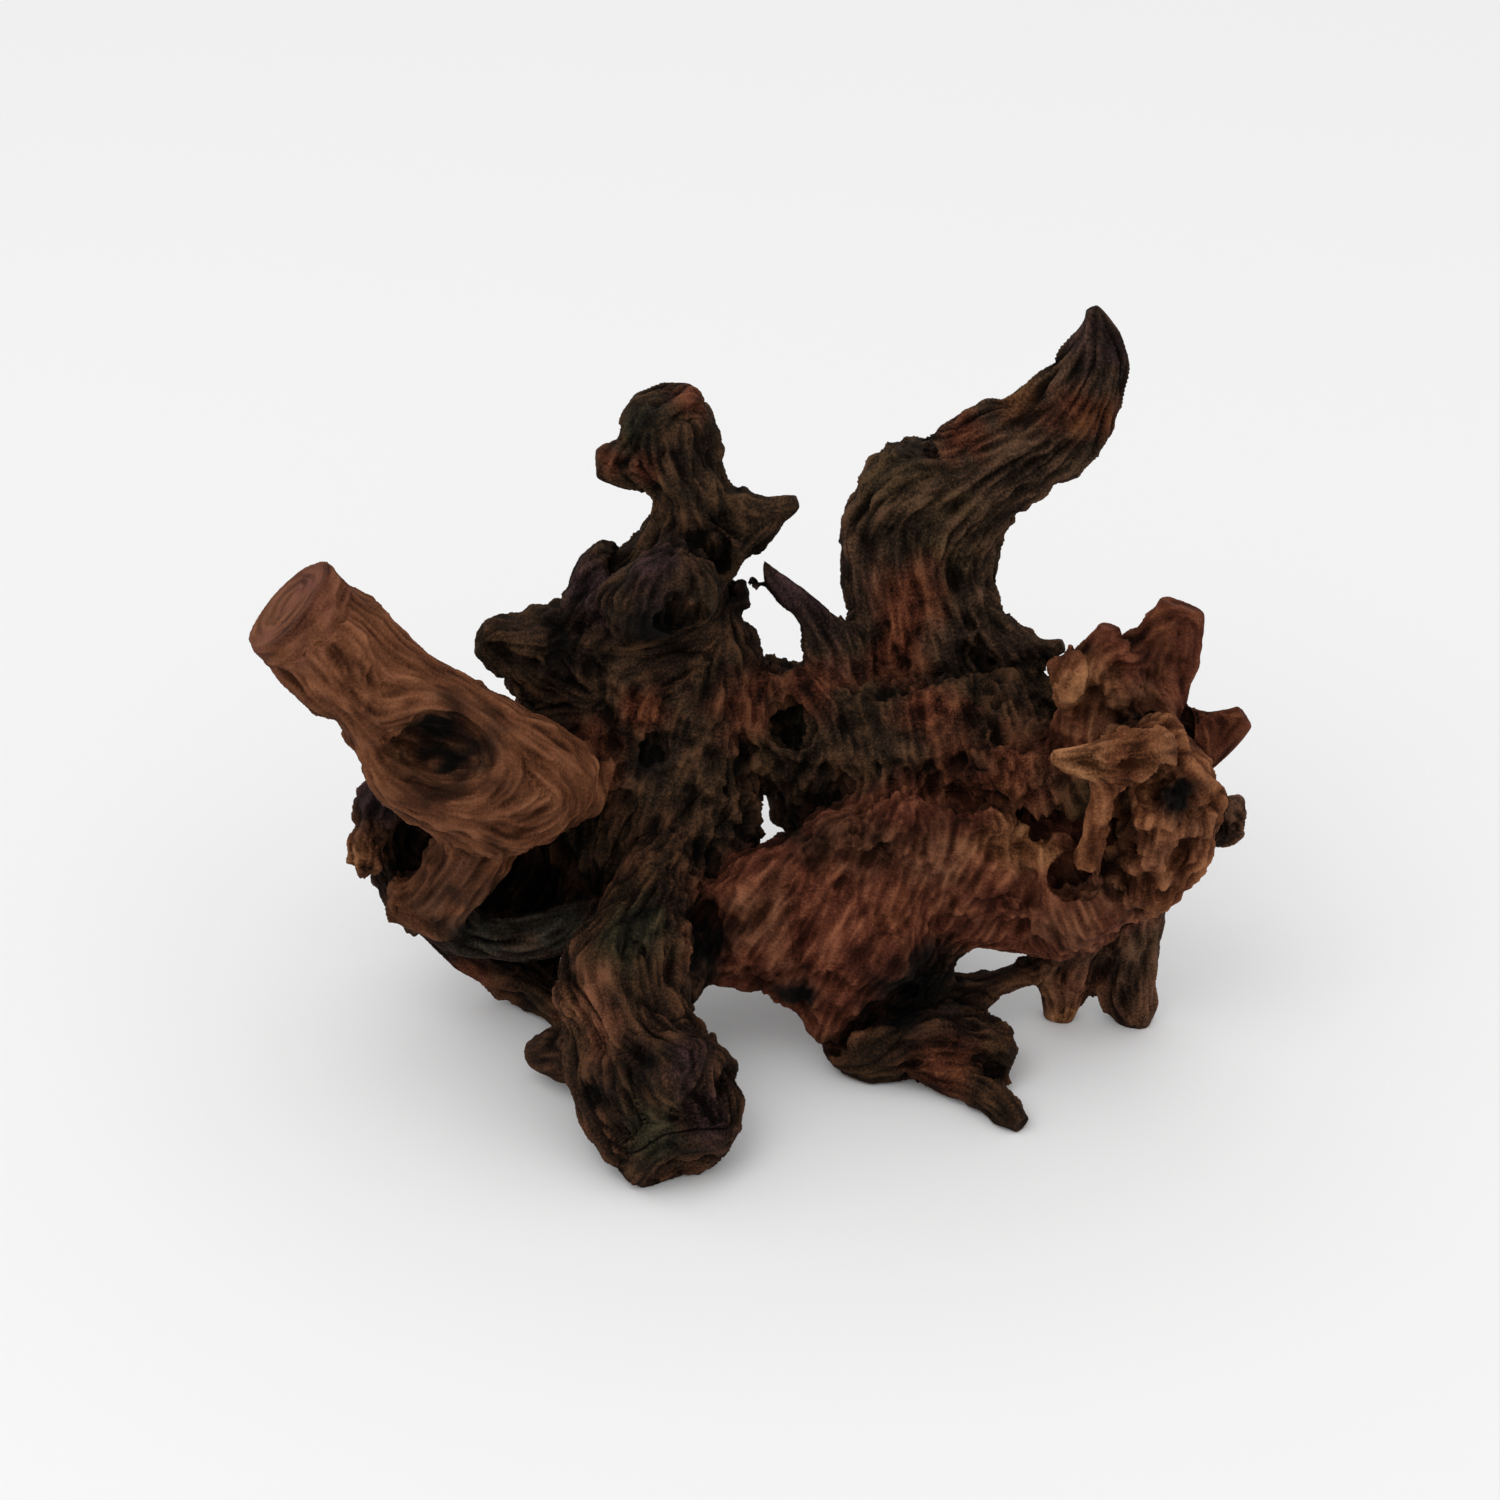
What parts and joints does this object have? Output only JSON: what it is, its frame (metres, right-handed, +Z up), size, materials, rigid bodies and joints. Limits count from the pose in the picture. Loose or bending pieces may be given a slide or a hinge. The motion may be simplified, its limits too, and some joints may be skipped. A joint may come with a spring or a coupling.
{
  "type": "aquarium cave ornament",
  "caption": "Free-standing aquarium cave ornament shaped like tangled driftwood roots, with a sawn limb, upright branches, a hollow cave, arches and splayed feet.",
  "frame": {"origin": "centre of the ornament's footprint box, on the surface that it stands on", "axes": "+Z up; +X along the length, towards the end with the splintered legs; -Y towards the front, the side with the front foot"},
  "size_m": [0.2991, 0.1748, 0.2277],
  "materials": {
    "dark_casting": "painted matt, near-black umber with open grain",
    "umber_casting": "painted matt, grey-brown umber with long grain",
    "tan_casting": "painted matt, orange-brown with a saw-cut end",
    "root_casting": "painted matt, dark purplish brown",
    "foot_casting": "painted matt, brown with orange streaks",
    "red_casting": "painted matt, red-brown",
    "ochre_casting": "painted matt, pitted golden ochre",
    "grey_casting": "painted matt, grey-brown splintered wood look",
    "steel": "stainless, ground"
  },
  "bodies": {
    "root": {"trunk_left": "dark_casting", "trunk_right": "dark_casting", "left_horn": "dark_casting", "side_knot": "dark_casting", "knob_branch": "dark_casting", "hollow_knot": "dark_casting", "left_spur": "dark_casting", "right_spur": "dark_casting", "tall_branch": "umber_casting", "tall_elbow": "umber_casting", "tall_tip": "umber_casting", "spike_twig": "umber_casting", "side_twig": "umber_casting", "sawn_limb": "tan_casting", "limb_root": "tan_casting", "ring_root": "root_casting", "rim_root": "root_casting", "cave_sill": "root_casting", "cave_shell": "root_casting", "inner_root": "root_casting", "back_root": "root_casting", "rear_root": "root_casting", "front_foot": "foot_casting", "foot_knob": "foot_casting", "foot_spur": "foot_casting", "right_foot": "foot_casting", "foot_spike": "foot_casting", "cross_root": "foot_casting", "slab_left": "red_casting", "slab_lobe": "red_casting", "slab_right": "red_casting", "large_fin": "red_casting", "small_fin": "red_casting", "thorn_fin": "red_casting", "pitted_knot": "ochre_casting", "pale_cap": "ochre_casting", "pale_strut": "ochre_casting", "right_stub": "grey_casting", "long_leg": "grey_casting", "short_leg": "grey_casting", "locating_pins": "steel"}
  },
  "joints": []
}
